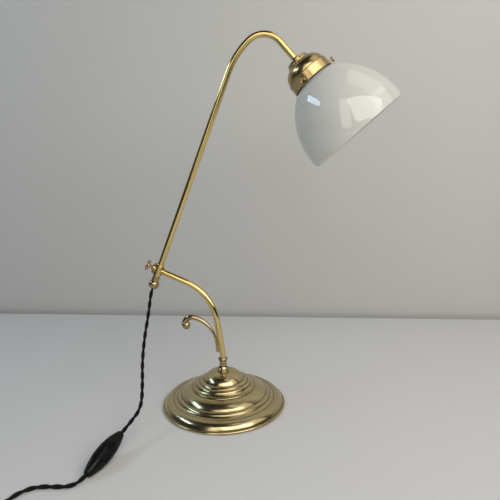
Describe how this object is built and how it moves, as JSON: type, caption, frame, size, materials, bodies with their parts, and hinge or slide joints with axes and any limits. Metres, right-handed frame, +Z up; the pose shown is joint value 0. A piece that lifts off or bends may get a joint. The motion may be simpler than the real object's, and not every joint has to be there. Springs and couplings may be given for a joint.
{
  "type": "desk lamp",
  "caption": "Brass desk lamp with a stepped round base, a curved stem, a swivelling and sliding gooseneck arm, an opal glass shade and an in-line cord switch.",
  "frame": {"origin": "centre of the base's underside, on the table", "axes": "+Z up; +X level in the plane of the stem and arm, towards the shade; +Y level, away from the cord switch"},
  "size_m": [0.469, 0.4883, 0.5742],
  "materials": {
    "brass_polished": "polished, lightly toned",
    "brass_satin": "brushed, toned darker in the grooves",
    "brass_plain": "turned",
    "cast_iron": "as cast, painted",
    "felt": "wool felt",
    "steel": "zinc plated",
    "opal_glass": "opal white, glossy",
    "bulb_glass": "frosted",
    "insulator": "moulded insulator",
    "black_plastic": "moulded, glossy",
    "black_rubber": "soft moulding",
    "plated_pins": "plated",
    "black_fabric": "braided",
    "tie_strap": "woven strap"
  },
  "bodies": {
    "base": {"stem_collar": "brass_polished", "stem_tube": "brass_polished", "arm_sleeve": "brass_polished", "stem_collet": "brass_polished", "clamp_flange": "brass_polished", "scroll_hook": "brass_polished", "hook_screw": "brass_polished", "base_shell": "brass_satin", "switch_contacts": "brass_plain", "base_weight": "cast_iron", "base_felt": "felt", "stem_rod": "steel", "stem_washer": "steel", "stem_nut": "steel", "switch_screws": "steel", "rocker_pin": "steel", "switch_cover": "black_plastic", "switch_base": "black_plastic", "plug_body": "black_plastic", "plug_relief": "black_rubber", "plug_pins": "plated_pins", "cord_drop": "black_fabric", "cord_lead": "black_fabric", "cord_coil": "black_fabric", "cord_tail": "black_fabric", "cord_tie": "tie_strap"},
    "tail": {"cord_bush": "insulator"},
    "arm": {"arm_tube": "brass_polished", "arm_end_cap": "brass_polished", "arm_flex": "black_fabric", "gallery_cap": "brass_satin", "gallery": "brass_satin", "shade_glass": "opal_glass", "gallery_nut": "brass_plain", "holder_cap": "brass_plain", "holder_shell": "brass_plain", "holder_insert": "insulator", "holder_socket": "brass_plain", "holder_contact": "brass_plain", "bulb_cap": "brass_plain", "bulb_glass": "bulb_glass"},
    "pad": {"clamp_pad": "brass_plain"},
    "clamp_screw": {"thumbscrew": "brass_polished"},
    "shade_screw_1": {"gallery_screw_1": "brass_satin"},
    "shade_screw_2": {"gallery_screw_2": "brass_satin"},
    "shade_screw_3": {"gallery_screw_3": "brass_satin"},
    "rocker": {"switch_rocker": "black_plastic"}
  },
  "joints": [
    {"name": "arm_slide", "type": "slide", "parent": "base", "child": "tail", "axis": [0.3795, 0, 0.9252], "range_m": [-0.12, 0.001], "deforming": ["cord_drop"]},
    {"name": "arm_swivel", "type": "hinge", "parent": "tail", "child": "arm", "pos_m": [-0.10211, 0, 0.22221], "axis": [0.3795, 0, 0.9252], "range_deg": [-170, 170]},
    {"name": "clamp_travel", "type": "slide", "parent": "base", "child": "pad", "axis": [-0.9252, 0, 0.3795], "range_m": [0, 0.0016]},
    {"name": "clamp_turn", "type": "hinge", "parent": "pad", "child": "clamp_screw", "pos_m": [-0.10211, 0, 0.22221], "axis": [-0.9252, 0, 0.3795], "range_deg": [0, 720]},
    {"name": "shade_screw_1_turn", "type": "hinge", "parent": "arm", "child": "shade_screw_1", "pos_m": [0.16312, 0.00645, 0.52735], "axis": [0.736, 0.2079, 0.6443], "range_deg": [-180, 180]},
    {"name": "shade_screw_2_turn", "type": "hinge", "parent": "arm", "child": "shade_screw_2", "pos_m": [0.1331, -0.02948, 0.50107], "axis": [-0.2325, -0.9511, -0.2035], "range_deg": [-180, 180]},
    {"name": "shade_screw_3_turn", "type": "hinge", "parent": "arm", "child": "shade_screw_3", "pos_m": [0.1247, 0.02304, 0.49371], "axis": [-0.5035, 0.7431, -0.4407], "range_deg": [-180, 180]},
    {"name": "rocker_tip", "type": "hinge", "parent": "base", "child": "rocker", "pos_m": [-0.1142, -0.18851, 0.016], "axis": [0.3495, 0.1464, -0.9254], "range_deg": [-14, 0]}
  ],
  "couplings": [
    {"joint": "clamp_travel", "follows": "clamp_turn", "m_per_rad": 0.00012732}
  ]
}
